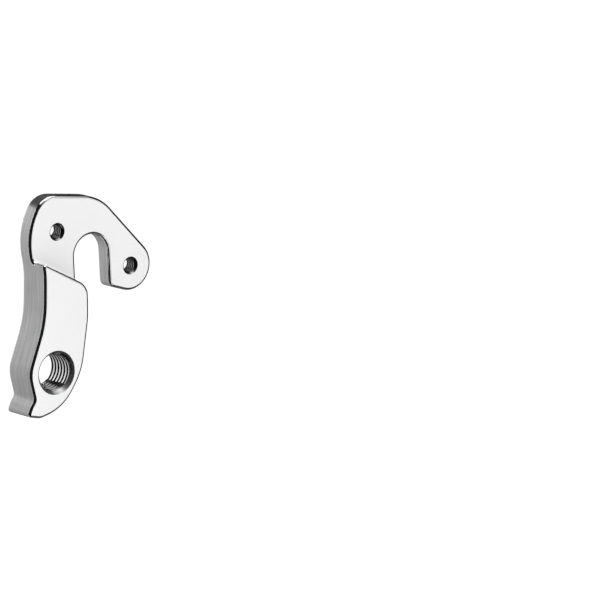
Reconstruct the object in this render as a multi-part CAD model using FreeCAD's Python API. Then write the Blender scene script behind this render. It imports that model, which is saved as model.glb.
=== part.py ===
"""Bicycle derailleur hanger: one machined aluminium piece that carries a rear derailleur.

Sizes are in millimetres. The hanger sits as on the bicycle, seen from outboard with the front of the
bicycle to the right: +X points forward, +Y inboard to the wheel and +Z up along the axle slot. The
origin is the centre of the wheel axle, on the face that seats against the frame end.
"""

import FreeCAD, Part
import math
import os
from collections import namedtuple

Vector = FreeCAD.Vector

# A corner is a point of the outline and the radius that rounds it
# A boss is an arc about its centre, hollow where the radius is negative
Corner = namedtuple("Corner", "x z radius")
Boss = namedtuple("Boss", "x z radius")

# Thicknesses across the hanger, and the rounding of its edges
PLATE_THICKNESS = 4.5
ARM_RISE = 5.0
EDGE_RADIUS = 0.65

# Slot that the wheel axle slides up into
AXLE_SLOT_WIDTH = 10.0
SLOT_LIP_DROP = 9.0
SLOT_LIP_RADIUS = 1.7

# Tapped holes for the two bolts that hold the hanger to the frame end, M4 x 0.7
# The front bolt is set back from the slot's front wall, in its round lobe
BOLT_THREAD_DIAMETER = 4.0
BOLT_THREAD_PITCH = 0.7
BOLT_MOUTH_STEP = 0.25
REAR_BOLT_X = -9.9
REAR_BOLT_Z = 7.45
FRONT_BOLT_SETBACK = 6.5
FRONT_BOLT_DROP = 4.85
FRONT_LOBE_WALL = 3.95

# Tapped hole for the derailleur's pivot bolt, in its round boss, M10 x 1
PIVOT_THREAD_DIAMETER = 10.0
PIVOT_THREAD_PITCH = 1.0
PIVOT_MOUTH_STEP = 0.5
PIVOT_X = -15.9
PIVOT_Z = -26.1
PIVOT_BOSS_WALL = 2.15

# Ledge where the thick arm ends and the seat for the frame end begins
LEDGE_DROP = 7.8
LEDGE_ANGLE = 31.0
LEDGE_FOOT_RADIUS = 1.0
LEDGE_NOSE_CUT = 1.1
LEDGE_NOSE_TURN = 34.0
LEDGE_NOSE_RADIUS = 4.2
LEDGE_HEEL_CUT = 0.9
LEDGE_HEEL_TURN = 60.0
LEDGE_HEEL_RADIUS = 0.9

# Corners of the plate
SHOULDER_X = 3.6
SHOULDER_Z = 14.05
SHOULDER_RADIUS = 12.6
CROWN_X = -13.8
CROWN_Z = 17.2
CROWN_RADIUS = 5.8
REAR_BOW_X = -18.85
REAR_BOW_Z = 7.8
REAR_BOW_RADIUS = 16.8

# Corners of the arm
NAPE_X = -17.6
NAPE_Z = -1.15
NAPE_RADIUS = 21.0
BACK_X = -18.45
BACK_Z = -12.9
BACK_RADIUS = 27.0
CHEST_X = -5.25
CHEST_Z = -14.3
CHEST_RADIUS = 21.0
THROAT_DROP = 9.9
THROAT_RADIUS = 12.0

# Corners of the arm's foot: angle about the pivot hole from +X, and reach past the rim of its boss
# The tab's notch, brow and tip are what the derailleur's angle screw bears on
TAB_NOTCH_ANGLE = 220.4
TAB_NOTCH_REACH = 1.15
TAB_NOTCH_RADIUS = 1.35
TAB_BROW_ANGLE = 222.75
TAB_BROW_REACH = 3.1
TAB_BROW_RADIUS = 2.1
TAB_TIP_ANGLE = 226.7
TAB_TIP_REACH = 5.55
TAB_TIP_RADIUS = 0.85
TAB_TOE_ANGLE = 243.35
TAB_TOE_REACH = 4.25
TAB_TOE_RADIUS = 3.15
BELLY_ANGLE = 280.95
BELLY_REACH = 1.8
BELLY_RADIUS = 12.6
FLANK_ANGLE = 352.1
FLANK_REACH = 0.35
FLANK_RADIUS = 16.8

# How far the seat's cutter and a hole's cutter reach past the metal, and the smallest length that counts
CLEAR = 60.0
OVERRUN = 1.0
TINY = 1e-6


def pivot_boss():
    """Round end of the arm about the pivot hole."""
    mouth = PIVOT_THREAD_DIAMETER / 2 + PIVOT_MOUTH_STEP
    return Boss(PIVOT_X, PIVOT_Z, mouth + PIVOT_BOSS_WALL)


def front_lobe():
    """Round lobe of the plate about the front bolt."""
    mouth = BOLT_THREAD_DIAMETER / 2 + BOLT_MOUTH_STEP
    return Boss(AXLE_SLOT_WIDTH / 2 + FRONT_BOLT_SETBACK, -FRONT_BOLT_DROP, mouth + FRONT_LOBE_WALL)


def foot_corner(angle, reach, radius):
    """Corner of the arm's foot at an angle about the pivot hole, past the rim of its boss."""
    boss = pivot_boss()
    out = boss.radius + reach
    turn = math.radians(angle)
    return Corner(boss.x + out * math.cos(turn), boss.z + out * math.sin(turn), radius)


def outline():
    """Corners and bosses of the hanger's outline, with the metal on the left all the way round."""
    half_slot = AXLE_SLOT_WIDTH / 2
    return [
        Boss(0.0, 0.0, -half_slot),
        Corner(half_slot, -SLOT_LIP_DROP, SLOT_LIP_RADIUS),
        front_lobe(),
        Corner(SHOULDER_X, SHOULDER_Z, SHOULDER_RADIUS),
        Corner(CROWN_X, CROWN_Z, CROWN_RADIUS),
        Corner(REAR_BOW_X, REAR_BOW_Z, REAR_BOW_RADIUS),
        Corner(NAPE_X, NAPE_Z, NAPE_RADIUS),
        Corner(BACK_X, BACK_Z, BACK_RADIUS),
        pivot_boss(),
        foot_corner(TAB_NOTCH_ANGLE, TAB_NOTCH_REACH, TAB_NOTCH_RADIUS),
        foot_corner(TAB_BROW_ANGLE, TAB_BROW_REACH, TAB_BROW_RADIUS),
        foot_corner(TAB_TIP_ANGLE, TAB_TIP_REACH, TAB_TIP_RADIUS),
        foot_corner(TAB_TOE_ANGLE, TAB_TOE_REACH, TAB_TOE_RADIUS),
        foot_corner(BELLY_ANGLE, BELLY_REACH, BELLY_RADIUS),
        foot_corner(FLANK_ANGLE, FLANK_REACH, FLANK_RADIUS),
        Corner(CHEST_X, CHEST_Z, CHEST_RADIUS),
        Corner(-half_slot, -THROAT_DROP, THROAT_RADIUS),
    ]


def touching_line(first, second):
    """Ends of the straight side from one station to the next, touching the bosses among them."""
    start = Vector(first.x, 0, first.z)
    end = Vector(second.x, 0, second.z)
    first_radius = first.radius if isinstance(first, Boss) else 0.0
    second_radius = second.radius if isinstance(second, Boss) else 0.0
    along = (end - start).normalize()
    across = Vector(-along.z, 0, along.x)
    lean = (second_radius - first_radius) / (end - start).Length
    inward = along * lean + across * math.sqrt(1 - lean * lean)
    return start - inward * first_radius, end - inward * second_radius


def boss_arc(boss, start, end):
    """Arc about a boss's centre between the two sides that touch it."""
    centre = Vector(boss.x, 0, boss.z)
    to_start = start - centre
    to_end = end - centre
    first = math.atan2(to_start.z, to_start.x)
    turn = (math.atan2(to_end.z, to_end.x) - first) % math.tau
    if boss.radius < 0:
        turn -= math.tau
    middle = first + turn / 2
    reach = abs(boss.radius)
    return Part.Arc(start, centre + Vector(math.cos(middle), 0, math.sin(middle)) * reach, end)


def corner_arc(before, corner, after, reach):
    """Arc that rounds a corner, from this far before it to this far after it."""
    to_before = (before - corner).normalize()
    to_after = (after - corner).normalize()
    half_turn = to_before.negative().getAngle(to_after) / 2
    radius = reach / math.tan(half_turn)
    middle = corner + (to_before + to_after).normalize() * (radius / math.cos(half_turn) - radius)
    return Part.Arc(corner + to_before * reach, middle, corner + to_after * reach)


def corner_reach(before, corner, after, radius):
    """Length that rounding a corner takes from each of its sides."""
    return radius * math.tan((corner - before).getAngle(after - corner) / 2)


def trace(stations):
    """Closed wire round the stations, each corner rounded as far as its sides leave room."""
    count = len(stations)
    sides = [touching_line(stations[i], stations[(i + 1) % count]) for i in range(count)]
    reaches = []
    for i, station in enumerate(stations):
        if isinstance(station, Boss):
            reaches.append(0.0)
        else:
            reaches.append(corner_reach(sides[i - 1][0], *sides[i], station.radius))
    room = []
    for i, (start, end) in enumerate(sides):
        wanted = reaches[i] + reaches[(i + 1) % count]
        room.append(min(1.0, (end - start).Length / max(wanted, TINY)))
    reaches = [reaches[i] * min(room[i - 1], room[i]) for i in range(count)]
    edges = []
    for i, station in enumerate(stations):
        start, end = sides[i]
        if isinstance(station, Boss):
            edges.append(boss_arc(station, sides[i - 1][1], start).toShape())
        elif reaches[i] > TINY:
            edges.append(corner_arc(sides[i - 1][0], start, end, reaches[i]).toShape())
        along = (end - start).normalize()
        leave = start + along * reaches[i]
        arrive = end - along * reaches[(i + 1) % count]
        if (arrive - leave).Length > 10 * TINY:
            edges.append(Part.LineSegment(leave, arrive).toShape())
    return Part.Wire(edges)


def prism(wire, from_y, to_y):
    """Solid between two depths with the section that a wire encloses."""
    face = Part.Face(wire)
    face.translate(Vector(0, from_y, 0))
    solid = face.extrude(Vector(0, to_y - from_y, 0))
    if solid.Volume < 0:
        solid.reverse()
    return solid


def heading(degrees):
    """Direction at an angle below +X, in the plane of the plate."""
    angle = math.radians(degrees)
    return Vector(math.cos(angle), 0, -math.sin(angle))


def seat_cutter(wire):
    """Metal milled away outboard of the plate above the ledge, rounded at the ledge's foot."""
    along = heading(LEDGE_ANGLE)
    middle = heading(LEDGE_ANGLE + 90) * LEDGE_DROP
    line = Part.makeLine(middle - along * CLEAR, middle + along * CLEAR)
    crossings = sorted(vertex.Point.dot(along) for vertex in line.section(wire).Vertexes)
    rear, front = crossings[:2]
    heel = middle + along * (rear + LEDGE_HEEL_CUT)
    nose = middle + along * (front - LEDGE_NOSE_CUT)
    below_heel = heel - heading(LEDGE_ANGLE - LEDGE_HEEL_TURN) * CLEAR
    below_nose = nose + heading(LEDGE_ANGLE + LEDGE_NOSE_TURN) * CLEAR
    stations = [
        Corner(below_heel.x, below_heel.z, 0.0),
        Corner(heel.x, heel.z, LEDGE_HEEL_RADIUS),
        Corner(nose.x, nose.z, LEDGE_NOSE_RADIUS),
        Corner(below_nose.x, below_nose.z, 0.0),
        Corner(CLEAR, CLEAR, 0.0),
        Corner(below_heel.x, CLEAR, 0.0),
    ]
    block = prism(trace(stations), -ARM_RISE - CLEAR, 0.0)
    ledge = Part.makeLine(heel, nose)
    foot_edges = []
    for edge in block.Edges:
        level = max(abs(edge.BoundBox.YMin), abs(edge.BoundBox.YMax)) < TINY
        if level and edge.distToShape(ledge)[0] < LEDGE_NOSE_RADIUS:
            foot_edges.append(edge)
    return block.makeFillet(LEDGE_FOOT_RADIUS, foot_edges)


def sharp_edges(solid):
    """Edges where two faces of a solid meet at an angle."""
    sharp = []
    for edge in solid.Edges:
        faces = solid.ancestorsOfType(edge, Part.Face)
        if len(faces) != 2:
            continue
        middle = edge.valueAt((edge.FirstParameter + edge.LastParameter) / 2)
        normals = [face.normalAt(*face.Surface.parameter(middle)) for face in faces]
        if normals[0].getAngle(normals[1]) > math.radians(5):
            sharp.append(edge)
    return sharp


def tapped_hole(x, z, thread_diameter, pitch, mouth_step, outer_y):
    """Hole at the thread's tapping size with a cone at each mouth, to cut from the metal."""
    tap = (thread_diameter - pitch) / 2
    mouth = thread_diameter / 2 + mouth_step
    inboard = Vector(0, 1, 0)
    outboard = Vector(0, -1, 0)
    start = Vector(x, outer_y - OVERRUN, z)
    rim = mouth + OVERRUN
    bore = Part.makeCylinder(tap, PLATE_THICKNESS - outer_y + 2 * OVERRUN, start, inboard)
    outer = Part.makeCone(rim, tap, rim - tap, start, inboard)
    inner = Part.makeCone(rim, tap, rim - tap, Vector(x, PLATE_THICKNESS + OVERRUN, z), outboard)
    return bore.fuse([outer, inner])


def main():
    os.makedirs("parts", exist_ok=True)
    wire = trace(outline())
    blank = prism(wire, -ARM_RISE, PLATE_THICKNESS)
    milled = blank.cut(seat_cutter(wire)).removeSplitter()
    smooth = milled.makeFillet(EDGE_RADIUS, sharp_edges(milled))
    front = front_lobe()
    bolt_size = (BOLT_THREAD_DIAMETER, BOLT_THREAD_PITCH, BOLT_MOUTH_STEP)
    pivot_size = (PIVOT_THREAD_DIAMETER, PIVOT_THREAD_PITCH, PIVOT_MOUTH_STEP)
    holes = [
        tapped_hole(REAR_BOLT_X, REAR_BOLT_Z, *bolt_size, 0.0),
        tapped_hole(front.x, front.z, *bolt_size, 0.0),
        tapped_hole(PIVOT_X, PIVOT_Z, *pivot_size, -ARM_RISE),
    ]
    hanger = smooth.cut(holes)
    hanger.exportStep("parts/hanger.step")


main()
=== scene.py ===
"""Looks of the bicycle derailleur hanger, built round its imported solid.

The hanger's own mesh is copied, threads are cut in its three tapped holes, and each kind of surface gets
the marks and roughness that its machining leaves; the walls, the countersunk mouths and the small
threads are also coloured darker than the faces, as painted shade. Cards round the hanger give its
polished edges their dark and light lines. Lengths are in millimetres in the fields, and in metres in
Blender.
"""

import logging
import math
from dataclasses import dataclass, field
from enum import IntEnum

import bmesh
import bpy
from mathutils import Matrix, Vector

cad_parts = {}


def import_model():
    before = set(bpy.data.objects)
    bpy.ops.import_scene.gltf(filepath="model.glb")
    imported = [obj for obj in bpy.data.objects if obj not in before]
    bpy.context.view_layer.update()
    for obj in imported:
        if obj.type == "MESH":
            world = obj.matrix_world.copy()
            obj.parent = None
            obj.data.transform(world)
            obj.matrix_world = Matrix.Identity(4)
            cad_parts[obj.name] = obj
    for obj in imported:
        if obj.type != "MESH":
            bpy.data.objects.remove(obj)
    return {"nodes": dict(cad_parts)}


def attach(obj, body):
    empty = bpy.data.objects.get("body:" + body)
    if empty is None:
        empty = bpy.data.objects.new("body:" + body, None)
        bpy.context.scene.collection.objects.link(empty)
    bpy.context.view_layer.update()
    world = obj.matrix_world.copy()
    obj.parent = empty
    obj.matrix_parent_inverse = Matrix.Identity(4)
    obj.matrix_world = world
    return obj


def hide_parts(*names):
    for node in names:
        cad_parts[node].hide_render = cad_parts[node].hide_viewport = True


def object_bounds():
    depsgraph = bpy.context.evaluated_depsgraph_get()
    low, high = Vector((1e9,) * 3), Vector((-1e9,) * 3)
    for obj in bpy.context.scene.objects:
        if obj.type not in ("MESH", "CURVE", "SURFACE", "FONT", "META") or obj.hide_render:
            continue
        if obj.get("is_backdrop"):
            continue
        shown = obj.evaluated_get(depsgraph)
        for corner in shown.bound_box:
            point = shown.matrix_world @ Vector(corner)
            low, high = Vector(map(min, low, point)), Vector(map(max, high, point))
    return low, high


log = logging.getLogger("hanger")

MM = 0.001

# Red, green and blue.
Colour = tuple[float, float, float]
# First and last value.
Span = tuple[float, float]


class Surface(IntEnum):
    """Kinds of surface on the hanger, in the order of its material slots."""

    FACE = 0
    WALL = 1
    EDGE = 2
    MOUTH = 3
    BOLT_THREAD = 4
    PIVOT_THREAD = 5


def to_metres(*lengths: float) -> Vector:
    """Point in metres from its coordinates in millimetres."""
    return Vector(lengths) * MM


def grey(level: float) -> tuple[float, float, float, float]:
    """Opaque grey of one level."""
    return (level, level, level, 1.0)


def apply_modifiers(piece: bpy.types.Object) -> None:
    """Gives an object the plain mesh that its modifiers make.

    Args:
        piece: Object with live modifiers, which are removed.
    """
    depsgraph = bpy.context.evaluated_depsgraph_get()
    mesh = bpy.data.meshes.new_from_object(piece.evaluated_get(depsgraph))
    piece.modifiers.clear()
    piece.data = mesh


def link_new(name: str, data: bpy.types.ID) -> bpy.types.Object:
    """New object in the scene.

    Args:
        name: Its name.
        data: Its mesh, camera or light.

    Returns:
        The object, at the origin.
    """
    piece = bpy.data.objects.new(name, data)
    bpy.context.scene.collection.objects.link(piece)
    return piece


class Nodes:
    """Short way to add and wire shader nodes in one material or world."""

    # Usual lowest and highest value of a noise texture.
    NOISE_LOW = 0.3
    NOISE_HIGH = 0.7
    # Places of the sockets of a mix node that mixes colours.
    MIX_FACTOR = 0
    MIX_FIRST = 6
    MIX_SECOND = 7
    MIX_RESULT = 2

    def __init__(self, owner: bpy.types.ID) -> None:
        """Starts an empty node tree with its output.

        Args:
            owner: Material or world that the nodes belong to.
        """
        owner.use_nodes = True
        self.tree = owner.node_tree
        self.tree.nodes.clear()
        kind = "World" if isinstance(owner, bpy.types.World) else "Material"
        self.surface = self.tree.nodes.new(f"ShaderNodeOutput{kind}").inputs["Surface"]

    def add(self, kind: str, **settings: object) -> bpy.types.Node:
        """New node with its properties and unlinked inputs set.

        Args:
            kind: Blender's name for the node type.
            **settings: Properties by name, or inputs by label with spaces as underscores.

        Returns:
            The node.
        """
        node = self.tree.nodes.new(kind)
        for name, value in settings.items():
            label = name.replace("_", " ")
            if label in node.inputs:
                node.inputs[label].default_value = value
            else:
                setattr(node, name, value)
        return node

    def wire(self, start: bpy.types.NodeSocket, end: bpy.types.NodeSocket) -> None:
        """Joins an output socket to an input socket."""
        self.tree.links.new(start, end)

    def noise(
        self, place: bpy.types.NodeSocket, scale: float, detail: float, grain: float
    ) -> bpy.types.NodeSocket:
        """Noise in space.

        Args:
            place: Socket with the coordinates.
            scale: Patches in each unit of them.
            detail: Number of finer layers.
            grain: Share of the finer layers.

        Returns:
            Socket with the noise.
        """
        node = self.add("ShaderNodeTexNoise", Scale=scale, Detail=detail, Roughness=grain)
        self.wire(place, node.inputs["Vector"])
        return node.outputs["Fac"]

    def spread(self, noise: bpy.types.NodeSocket, low: float, high: float) -> bpy.types.NodeSocket:
        """Noise stretched from its usual range to a new one.

        Args:
            noise: Socket with the noise.
            low: Result at the low end.
            high: Result at the high end.

        Returns:
            Socket with the stretched value.
        """
        usual = {"From_Min": self.NOISE_LOW, "From_Max": self.NOISE_HIGH}
        node = self.add("ShaderNodeMapRange", **usual, To_Min=low, To_Max=high)
        self.wire(noise, node.inputs["Value"])
        return node.outputs["Result"]

    def tint(self, colour: Colour, level: bpy.types.NodeSocket) -> bpy.types.NodeSocket:
        """Colour darkened by a grey level.

        Args:
            colour: Its red, green and blue.
            level: Socket with the grey level.

        Returns:
            Socket with the darkened colour.
        """
        mix = self.add("ShaderNodeMix", data_type="RGBA", blend_type="MULTIPLY")
        mix.inputs[self.MIX_FACTOR].default_value = 1.0
        mix.inputs[self.MIX_FIRST].default_value = (*colour, 1.0)
        self.wire(level, mix.inputs[self.MIX_SECOND])
        return mix.outputs[self.MIX_RESULT]

    def seen_plainly(self) -> bpy.types.NodeSocket:
        """Tells rays that show the studio from rays that light the hanger.

        Returns:
            Socket that is 1 for rays from the camera and from metal or glass, and 0 for the rest.
        """
        path = self.add("ShaderNodeLightPath")
        seen = path.outputs["Is Camera Ray"]
        for label in ("Is Glossy Ray", "Is Transmission Ray"):
            either = self.add("ShaderNodeMath", operation="MAXIMUM")
            self.wire(seen, either.inputs[0])
            self.wire(path.outputs[label], either.inputs[1])
            seen = either.outputs[0]
        return seen


@dataclass(frozen=True)
class MetalFinish:
    """Bare aluminium with the marks that one machining step leaves, and a colour darkened as painted shade
    on some surfaces.

    Marks are as long as the cutter's path and as wide as its feed; mottle is the slow change from handling.
    """

    name: str
    colour: Colour
    roughness: float
    roughness_spread: float
    mark_length: float
    mark_width: float
    mark_depth: float
    shade_spread: float
    metallic: float = 1.0
    mark_detail: float = 4.0
    mark_grain: float = 0.55
    mottle_size: float = 6.0
    mottle_detail: float = 3.0
    mottle_grain: float = 0.5

    def material(self) -> bpy.types.Material:
        """Builds the finish.

        Returns:
            Material whose marks run round the outline, square to the hanger's thickness.
        """
        material = bpy.data.materials.new(self.name)
        nodes = Nodes(material)
        place = nodes.add("ShaderNodeTexCoord").outputs["Object"]
        along, across = 1 / (self.mark_length * MM), 1 / (self.mark_width * MM)
        stretch = nodes.add("ShaderNodeMapping", Scale=(along, across, along))
        nodes.wire(place, stretch.inputs["Vector"])
        marks = nodes.noise(stretch.outputs["Vector"], 1.0, self.mark_detail, self.mark_grain)
        mottle = nodes.noise(place, 1 / (self.mottle_size * MM), self.mottle_detail, self.mottle_grain)
        metal = nodes.add("ShaderNodeBsdfPrincipled", Metallic=self.metallic)
        shade = nodes.spread(marks, 1.0 - self.shade_spread, 1.0)
        nodes.wire(nodes.tint(self.colour, shade), metal.inputs["Base Color"])
        low, high = self.roughness - self.roughness_spread, self.roughness + self.roughness_spread
        nodes.wire(nodes.spread(mottle, low, high), metal.inputs["Roughness"])
        bump = nodes.add("ShaderNodeBump", Strength=1.0, Distance=self.mark_depth * MM)
        nodes.wire(marks, bump.inputs["Height"])
        nodes.wire(bump.outputs["Normal"], metal.inputs["Normal"])
        nodes.wire(metal.outputs["BSDF"], nodes.surface)
        return material


FINISHES = {
    Surface.FACE: MetalFinish(
        name="blasted_face",
        colour=(0.93, 0.93, 0.935),
        roughness=0.35,
        roughness_spread=0.03,
        mark_length=0.5,
        mark_width=0.5,
        mark_depth=0.002,
        shade_spread=0.03,
        metallic=0.15,
    ),
    # Painted shade: the walls' colour is far darker than the faces' aluminium and stands for the grey that
    # the light gives the walls.
    Surface.WALL: MetalFinish(
        name="milled_wall_painted_shade",
        colour=(0.47, 0.47, 0.475),
        roughness=0.25,
        roughness_spread=0.04,
        mark_length=9.0,
        mark_width=0.4,
        mark_depth=0.008,
        shade_spread=0.26,
        metallic=0.88,
    ),
    Surface.EDGE: MetalFinish(
        name="tumbled_edge",
        colour=(0.90, 0.90, 0.905),
        roughness=0.06,
        roughness_spread=0.02,
        mark_length=3.0,
        mark_width=1.5,
        mark_depth=0.0003,
        shade_spread=0.05,
    ),
    # Painted shade: the countersunk mouths' colour is darker than the aluminium and stands for the shade
    # round the holes.
    Surface.MOUTH: MetalFinish(
        name="countersunk_mouth_painted_shade",
        colour=(0.52, 0.52, 0.525),
        roughness=0.28,
        roughness_spread=0.04,
        mark_length=1.5,
        mark_width=0.4,
        mark_depth=0.002,
        shade_spread=0.20,
        metallic=0.95,
    ),
    # Painted shade: the small threads' colour is dark and stands for the shade inside the tapped holes.
    Surface.BOLT_THREAD: MetalFinish(
        name="bolt_thread_painted_shade",
        colour=(0.34, 0.34, 0.345),
        roughness=0.18,
        roughness_spread=0.05,
        mark_length=0.5,
        mark_width=0.3,
        mark_depth=0.004,
        shade_spread=0.35,
    ),
    Surface.PIVOT_THREAD: MetalFinish(
        name="rolled_thread",
        colour=(0.90, 0.90, 0.905),
        roughness=0.08,
        roughness_spread=0.02,
        mark_length=1.2,
        mark_width=0.25,
        mark_depth=0.001,
        shade_spread=0.10,
    ),
}


@dataclass(frozen=True)
class ThreadCutter:
    """Helical tool that cuts one right-hand thread, as a tap does.

    It runs along Y, from one face of the hanger to the other and a little beyond both.
    """

    name: str
    x: float
    z: float
    from_y: float
    to_y: float
    diameter: float
    pitch: float
    surface: Surface
    root_share: float = 0.125
    flank_angle: float = 30.0
    steps_per_turn: int = 72
    overrun: float = 0.8
    inner_overlap: float = 0.12

    def build(self, finish: bpy.types.Material) -> bpy.types.Object:
        """Sweeps the cutter's tooth along its helix.

        Args:
            finish: Material of the thread that it cuts.

        Returns:
            Closed mesh object, in place in the frame.
        """
        outer = self.diameter / 2
        inner = (self.diameter - self.pitch) / 2 - self.inner_overlap
        crest = self.pitch * self.root_share
        base = crest + 2 * (outer - inner) * math.tan(math.radians(self.flank_angle))
        length = self.to_y - self.from_y + 2 * self.overrun
        inputs = {
            "Helix Radius": (outer + inner) / 2 * MM,
            "Tooth Height": (outer - inner) * MM,
            "Base Width": base * MM,
            "Crest Width": crest * MM,
            "Length": length * MM,
            "Turns": length / self.pitch,
            "Steps per Turn": self.steps_per_turn,
            "Start": to_metres(self.x, self.from_y - self.overrun, self.z),
            "Finish": finish,
        }
        tool = link_new(self.name, bpy.data.meshes.new(self.name))
        modifier = tool.modifiers.new("helix", "NODES")
        modifier.node_group = self.tree()
        for item in modifier.node_group.interface.items_tree:
            if item.in_out == "INPUT":
                modifier[item.identifier] = inputs[item.name]
        apply_modifiers(tool)
        return tool

    def tree(self) -> bpy.types.NodeTree:
        """Geometry Nodes tree that sweeps a trapezoid tooth along a helix about +Y.

        Returns:
            The tree, with its sizes as named inputs.
        """
        tree = bpy.data.node_groups.new("thread_helix", "GeometryNodeTree")
        inputs = {
            "Helix Radius": "Float",
            "Tooth Height": "Float",
            "Base Width": "Float",
            "Crest Width": "Float",
            "Length": "Float",
            "Turns": "Float",
            "Steps per Turn": "Int",
            "Start": "Vector",
            "Finish": "Material",
        }
        for label, kind in inputs.items():
            tree.interface.new_socket(label, in_out="INPUT", socket_type=f"NodeSocket{kind}")
        tree.interface.new_socket("Mesh", in_out="OUTPUT", socket_type="NodeSocketGeometry")
        add, wire = tree.nodes.new, tree.links.new
        given = add("NodeGroupInput").outputs
        helix = add("GeometryNodeCurveSpiral")
        wire(given["Steps per Turn"], helix.inputs["Resolution"])
        wire(given["Turns"], helix.inputs["Rotations"])
        wire(given["Helix Radius"], helix.inputs["Start Radius"])
        wire(given["Helix Radius"], helix.inputs["End Radius"])
        wire(given["Length"], helix.inputs["Height"])
        upright = add("GeometryNodeSetCurveNormal")
        upright.mode = "Z_UP"
        wire(helix.outputs["Curve"], upright.inputs["Curve"])
        tooth = add("GeometryNodeCurvePrimitiveQuadrilateral")
        tooth.mode = "TRAPEZOID"
        tooth.inputs["Offset"].default_value = 0.0
        wire(given["Tooth Height"], tooth.inputs["Height"])
        wire(given["Base Width"], tooth.inputs["Bottom Width"])
        wire(given["Crest Width"], tooth.inputs["Top Width"])
        turned = add("GeometryNodeTransform")
        turned.inputs["Rotation"].default_value = (0.0, 0.0, math.pi / 2)
        wire(tooth.outputs["Curve"], turned.inputs["Geometry"])
        sweep = add("GeometryNodeCurveToMesh")
        sweep.inputs["Fill Caps"].default_value = True
        wire(upright.outputs["Curve"], sweep.inputs["Curve"])
        wire(turned.outputs["Geometry"], sweep.inputs["Profile Curve"])
        placed = add("GeometryNodeTransform")
        placed.inputs["Rotation"].default_value = (-math.pi / 2, 0.0, 0.0)
        wire(sweep.outputs["Mesh"], placed.inputs["Geometry"])
        wire(given["Start"], placed.inputs["Translation"])
        real = add("GeometryNodeRealizeInstances")
        wire(placed.outputs["Geometry"], real.inputs["Geometry"])
        finish = add("GeometryNodeSetMaterial")
        wire(real.outputs["Geometry"], finish.inputs["Geometry"])
        wire(given["Finish"], finish.inputs["Material"])
        wire(finish.outputs["Geometry"], add("NodeGroupOutput").inputs["Mesh"])
        return tree


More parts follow.
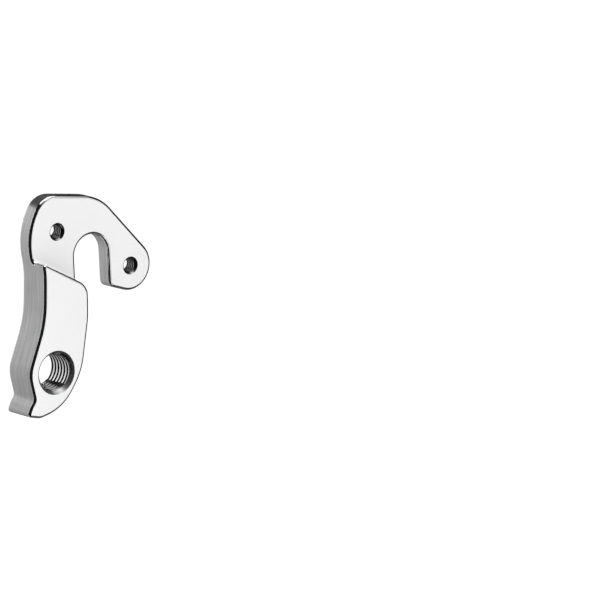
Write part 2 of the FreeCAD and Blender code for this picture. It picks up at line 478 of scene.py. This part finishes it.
@dataclass
class Hanger:
    """The hanger with its threads cut and each surface finished.

    A surface is known by its lean, the part of its normal that lies along Y. That is 1 on the flat faces, 0
    on the walls, and between them on the round edges and in the mouths. A thread's mouths reach no further
    out than its own radius and the margin.
    """

    node: str = "hanger"
    name: str = "hanger_threaded"
    threads: tuple[ThreadCutter, ...] = (
        ThreadCutter(
            name="rear_bolt_thread",
            x=-9.9,
            z=7.45,
            from_y=0.0,
            to_y=4.5,
            diameter=4.0,
            pitch=0.7,
            surface=Surface.BOLT_THREAD,
        ),
        ThreadCutter(
            name="front_bolt_thread",
            x=11.5,
            z=-4.85,
            from_y=0.0,
            to_y=4.5,
            diameter=4.0,
            pitch=0.7,
            surface=Surface.BOLT_THREAD,
        ),
        ThreadCutter(
            name="pivot_thread",
            x=-15.9,
            z=-26.1,
            from_y=-5.0,
            to_y=4.5,
            diameter=10.0,
            pitch=1.25,
            surface=Surface.PIVOT_THREAD,
            root_share=0.2,
        ),
    )
    finishes: dict[Surface, MetalFinish] = field(default_factory=lambda: dict(FINISHES))
    mouth_margin: float = 0.6
    mouth_band: float = 0.2
    ledge_foot_radius: float = 1.0
    face_lean: float = 0.9995
    mouth_lean: float = math.sqrt(0.5)
    mouth_tolerance: float = 0.02
    wall_lean: float = 0.03
    merge_distance: float = 0.0001
    sharp_angle: float = 35.0
    normal_weight: int = 50

    def build(self, solid: bpy.types.Object) -> bpy.types.Object:
        """Builds and dresses the hanger.

        Args:
            solid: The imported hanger, which stays as it is.

        Returns:
            The finished piece.
        """
        materials = [self.finishes[kind].material() for kind in Surface]
        piece = link_new(self.name, self.merged_copy(solid))
        for cutter in self.threads:
            self.cut_thread(piece, cutter, materials[cutter.surface])
        for material in materials:
            piece.data.materials.append(material)
        self.sort_surfaces(piece)
        self.even_normals(piece)
        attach(piece, "root")
        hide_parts(self.node)
        return piece

    def merged_copy(self, solid: bpy.types.Object) -> bpy.types.Mesh:
        """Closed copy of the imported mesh, which comes as loose triangles.

        Args:
            solid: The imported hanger.

        Returns:
            Mesh with its doubles merged and no materials.
        """
        shape = bmesh.new()
        shape.from_mesh(solid.data)
        bmesh.ops.remove_doubles(shape, verts=shape.verts, dist=self.merge_distance * MM)
        bmesh.ops.dissolve_degenerate(shape, edges=shape.edges, dist=self.merge_distance * MM)
        mesh = bpy.data.meshes.new(self.name)
        shape.to_mesh(mesh)
        shape.free()
        return mesh

    def cut_thread(
        self, piece: bpy.types.Object, cutter: ThreadCutter, finish: bpy.types.Material
    ) -> None:
        """Cuts one thread out of the piece.

        Args:
            piece: Closed mesh whose hole is plain so far.
            cutter: The thread's tool.
            finish: The thread's material.
        """
        tool = cutter.build(finish)
        cut = piece.modifiers.new(cutter.name, "BOOLEAN")
        cut.operation = "DIFFERENCE"
        cut.solver = "EXACT"
        cut.object = tool
        apply_modifiers(piece)
        bpy.data.objects.remove(tool)
        log.info("%s cut, %d faces", cutter.name, len(piece.data.polygons))

    def surface_of(self, centre: Vector, normal: Vector) -> Surface:
        """Kind of surface that a small face of the mesh belongs to.

        Args:
            centre: Middle of the face, in metres.
            normal: Its outward normal.

        Returns:
            The surface's kind.
        """
        lean = abs(normal.y)
        x, y, z = (length / MM for length in centre)
        if lean > self.face_lean:
            return Surface.FACE
        for cutter in self.threads:
            reach = cutter.diameter / 2 + self.mouth_margin
            off = math.hypot(x - cutter.x, z - cutter.z)
            if off > reach:
                continue
            deep = min(y - cutter.from_y, cutter.to_y - y)
            on_cone = off > reach - deep - self.mouth_band
            if on_cone and abs(lean - self.mouth_lean) < self.mouth_tolerance:
                return Surface.MOUTH
            return cutter.surface
        if lean < self.wall_lean:
            return Surface.WALL
        if -self.ledge_foot_radius < y < 0.0 < normal.x:
            return Surface.FACE
        return Surface.EDGE

    def sort_surfaces(self, piece: bpy.types.Object) -> None:
        """Gives each face of the mesh the material slot of its surface."""
        for polygon in piece.data.polygons:
            polygon.material_index = self.surface_of(polygon.center, polygon.normal)

    def even_normals(self, piece: bpy.types.Object) -> None:
        """Shades the round edges smoothly and keeps the flat faces flat.

        Args:
            piece: The cut piece, whose mesh gets its final normals.
        """
        shape = bmesh.new()
        shape.from_mesh(piece.data)
        for polygon in shape.faces:
            polygon.smooth = True
        for edge in shape.edges:
            edge.smooth = edge.calc_face_angle(math.pi) < math.radians(self.sharp_angle)
        shape.to_mesh(piece.data)
        shape.free()
        weigh = piece.modifiers.new("even_normals", "WEIGHTED_NORMAL")
        weigh.mode = "FACE_AREA"
        weigh.weight = self.normal_weight
        weigh.keep_sharp = True
        apply_modifiers(piece)


@dataclass(frozen=True)
class PhotoCamera:
    """The photograph's viewpoint, with a long lens for its nearly parallel lines of sight.

    The hanger's origin stands at one pixel of the photograph, counted from its top left corner.
    """

    azimuth: float = -35.1
    elevation: float = 13.4
    roll: float = -3.14
    pixels_per_mm: float = 4.0762
    origin_pixel: tuple[float, float] = (91.44, 254.49)
    frame_pixels: int = 600
    distance: float = 2000.0
    sensor_width: float = 36.0
    nearest_seen: float = 20.0
    farthest_seen: float = 20000.0

    def axes(self) -> tuple[Vector, Vector, Vector]:
        """Works out how the camera is turned.

        Returns:
            Directions to the picture's right, to its top and back to the camera.
        """
        turn, rise, roll = (math.radians(a) for a in (self.azimuth, self.elevation, self.roll))
        level = Vector((math.cos(turn), math.sin(turn), 0.0))
        steep = Vector((-math.sin(turn) * math.sin(rise), math.cos(turn) * math.sin(rise), math.cos(rise)))
        right = level * math.cos(roll) + steep * math.sin(roll)
        top = steep * math.cos(roll) - level * math.sin(roll)
        return right, top, right.cross(top)

    def build(self, lowest: Vector, highest: Vector) -> None:
        """Places the camera so that the hanger fills the same part of the picture.

        Args:
            lowest: Lowest corner of the object's box, in metres.
            highest: Highest corner of the box.
        """
        right, top, back = self.axes()
        middle = (lowest + highest) / 2 / MM
        u = self.origin_pixel[0] + self.pixels_per_mm * right.dot(middle)
        v = self.origin_pixel[1] - self.pixels_per_mm * top.dot(middle)
        half = self.frame_pixels / 2
        aim = middle + right * ((half - u) / self.pixels_per_mm) - top * ((half - v) / self.pixels_per_mm)
        place = middle + back * self.distance
        axis = (place - aim).normalized()
        side = top.cross(axis).normalized()
        data = bpy.data.cameras.new("camera")
        data.sensor_width = self.sensor_width
        depth = (place - middle).dot(axis)
        data.lens = self.sensor_width * self.pixels_per_mm * depth / self.frame_pixels
        data.clip_start = self.nearest_seen * MM
        data.clip_end = self.farthest_seen * MM
        camera = link_new("camera", data)
        turn = Matrix((side, axis.cross(side), axis)).transposed().to_4x4()
        camera.matrix_world = Matrix.Translation(place * MM) @ turn
        bpy.context.scene.camera = camera


@dataclass(frozen=True)
class Card:
    """Curved studio card round the hanger, upright or flat, seen only in the metal.

    Headings run from straight in front, -Y, towards the bicycle's rear, -X. The card reaches from its first
    height and radius to its second ones, and its glow changes evenly with height. No glow is black paper.
    """

    name: str
    headings: Span
    heights: Span
    glows: Span = (0.0, 0.0)
    radii: Span = (140.0, 140.0)
    facet_angle: float = 4.0
    paper_shade: float = 0.01

    def build(self) -> None:
        """Builds the card, which isn't part of the hanger."""
        first, last = self.headings
        steps = max(2, round(abs(last - first) / self.facet_angle))
        points, quads = [], []
        for i in range(steps + 1):
            heading = math.radians(first + (last - first) * i / steps)
            x, y = -math.sin(heading), -math.cos(heading)
            for radius, height in zip(self.radii, self.heights):
                points.append(to_metres(radius * x, radius * y, height))
            if i:
                quads.append((2 * i - 2, 2 * i, 2 * i + 1, 2 * i - 1))
        mesh = bpy.data.meshes.new(self.name)
        mesh.from_pydata(points, [], quads)
        mesh.materials.append(self.material())
        card = link_new(self.name, mesh)
        card.visible_camera = False
        card.visible_diffuse = False
        card.visible_shadow = False
        card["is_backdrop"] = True

    def material(self) -> bpy.types.Material:
        """Builds the card's surface.

        Returns:
            Material that glows from the card's lower to its upper edge, or black paper.
        """
        material = bpy.data.materials.new(self.name)
        nodes = Nodes(material)
        low, high = self.glows
        if high == 0.0:
            paper = nodes.add("ShaderNodeBsdfDiffuse", Color=grey(self.paper_shade))
            nodes.wire(paper.outputs[0], nodes.surface)
            return material
        glow = nodes.add("ShaderNodeEmission", Color=grey(1.0), Strength=low)
        nodes.wire(glow.outputs[0], nodes.surface)
        if high != low:
            place = nodes.add("ShaderNodeSeparateXYZ")
            nodes.wire(nodes.add("ShaderNodeTexCoord").outputs["Object"], place.inputs[0])
            reach = {"From_Min": self.heights[0] * MM, "From_Max": self.heights[1] * MM}
            level = nodes.add("ShaderNodeMapRange", **reach, To_Min=low, To_Max=high)
            nodes.wire(place.outputs["Z"], level.inputs["Value"])
            nodes.wire(level.outputs["Result"], glow.inputs["Strength"])
        return material


# Lower edge of the upright cards, just above the floor.
CARD_FOOT = -108.0
# Both heights of a flat card, which lies lower still.
FLAT = (-108.5, -108.5)
# Radii of a flat card right under the hanger.
UNDER = (0.5, 140.0)
# Glows of black paper.
BLACK = (0.0, 0.0)


@dataclass
class Studio:
    """Plain white studio: floor, world, cards and one soft lamp."""

    floor_drop: float = 110.0
    floor_size: float = 8000.0
    floor_shade: float = 0.8
    floor_glow: float = 0.18
    room_glow: float = 0.97
    backdrop_glow: float = 1.0
    lamp_place: tuple[float, float, float] = (-100.0, -250.0, 700.0)
    lamp_size: float = 1000.0
    lamp_watts: float = 3.2
    cards: tuple[Card, ...] = (
        Card("white_card", (-22.0, -4.0), (CARD_FOOT, 0.0), (1.5, 1.0)),
        Card("black_card_outboard", (-22.0, -4.0), (0.0, 160.0)),
        Card("grey_card_outboard", (-22.0, 5.0), (76.0, 160.0), (0.4, 0.4), (138.0, 138.0)),
        Card("black_card_rear", (-4.0, 128.0), (CARD_FOOT, 300.0)),
        Card("grey_card_inboard", (128.0, 166.0), (CARD_FOOT, 90.0), (0.62, 1.22)),
        Card("black_card_inboard", (128.0, 166.0), (90.0, 260.0)),
        Card("grey_card_low", (166.0, 200.0), (CARD_FOOT, -55.0), (0.52, 0.62)),
        Card("black_card_top", (166.0, 200.0), (-55.0, 260.0)),
        Card("grey_card_corner", (200.0, 218.0), (CARD_FOOT, -40.0), (0.3, 0.3)),
        Card("black_card_corner", (200.0, 218.0), (-40.0, 120.0)),
        Card("black_card_forward", (218.0, 280.0), (CARD_FOOT, 165.0)),
        Card("black_card_forward_high", (280.0, 312.0), (CARD_FOOT, 112.0)),
        Card("dark_card_high", (312.0, 338.0), (56.0, 200.0), (0.4, 0.4)),
        Card("grey_card_below", (95.0, 185.0), FLAT, (0.44, 0.44), UNDER),
        Card("dim_card_below", (185.0, 300.0), FLAT, (0.12, 0.12), UNDER),
        Card("dark_card_below", (300.0, 318.0), FLAT, BLACK, UNDER),
        Card("dim_card_outboard_below", (318.0, 356.0), FLAT, (0.12, 0.12), UNDER),
        Card("dark_card_rear_below", (356.0, 455.0), FLAT, BLACK, UNDER),
        Card("dark_card_outboard", (300.0, 360.0), FLAT, BLACK, (140.0, 240.0)),
        Card("dark_card_aside", (300.0, 336.0), FLAT, BLACK, (240.0, 900.0)),
    )

    def build(self) -> None:
        """Builds the floor, world, cards and lamp."""
        self.floor()
        self.world()
        for card in self.cards:
            card.build()
        self.lamp()
        bpy.context.scene.view_settings.view_transform = "Standard"

    def floor(self) -> None:
        """Builds the pale floor, which keeps the hanger's shadow."""
        mesh = bpy.data.meshes.new("floor")
        half, level = self.floor_size / 2, -self.floor_drop
        corners = [(-half, -half), (half, -half), (half, half), (-half, half)]
        mesh.from_pydata([to_metres(x, y, level) for x, y in corners], [], [(0, 1, 2, 3)])
        floor = link_new("floor", mesh)
        material = bpy.data.materials.new("floor_paper")
        nodes = Nodes(material)
        paper = nodes.add("ShaderNodeBsdfDiffuse", Color=grey(self.floor_shade))
        glow = nodes.add("ShaderNodeEmission", Color=grey(1.0))
        strength = nodes.add("ShaderNodeMath", operation="MULTIPLY")
        strength.inputs[1].default_value = self.floor_glow
        nodes.wire(nodes.seen_plainly(), strength.inputs[0])
        nodes.wire(strength.outputs[0], glow.inputs["Strength"])
        both = nodes.add("ShaderNodeAddShader")
        nodes.wire(paper.outputs[0], both.inputs[0])
        nodes.wire(glow.outputs[0], both.inputs[1])
        nodes.wire(both.outputs[0], nodes.surface)
        mesh.materials.append(material)
        floor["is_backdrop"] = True

    def world(self) -> None:
        """Makes the world white behind the hanger and soft elsewhere."""
        world = bpy.data.worlds.new("studio")
        bpy.context.scene.world = world
        nodes = Nodes(world)
        back = nodes.add("ShaderNodeBackground", Color=grey(1.0))
        level = nodes.add("ShaderNodeMapRange", To_Min=self.room_glow, To_Max=self.backdrop_glow)
        nodes.wire(nodes.seen_plainly(), level.inputs["Value"])
        nodes.wire(level.outputs["Result"], back.inputs["Strength"])
        nodes.wire(back.outputs[0], nodes.surface)

    def lamp(self) -> None:
        """Adds a soft square lamp that faces the hanger."""
        data = bpy.data.lights.new("overhead_softbox", "AREA")
        data.shape = "SQUARE"
        data.size = self.lamp_size * MM
        data.energy = self.lamp_watts
        lamp = link_new("overhead_softbox", data)
        lamp.location = to_metres(*self.lamp_place)
        lamp.rotation_mode = "QUATERNION"
        lamp.rotation_quaternion = lamp.location.to_track_quat("Z", "Y")


def main() -> None:
    """Builds the scene."""
    logging.basicConfig(level=logging.INFO, format="%(name)s: %(message)s")
    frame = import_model()
    solid_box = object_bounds()
    hanger = Hanger()
    piece = hanger.build(frame["nodes"][hanger.node])
    log.info("%s built, %d faces", piece.name, len(piece.data.polygons))
    PhotoCamera().build(*solid_box)
    log.info("camera placed")
    Studio().build()
    log.info("studio built")


if __name__ == "__main__":
    main()
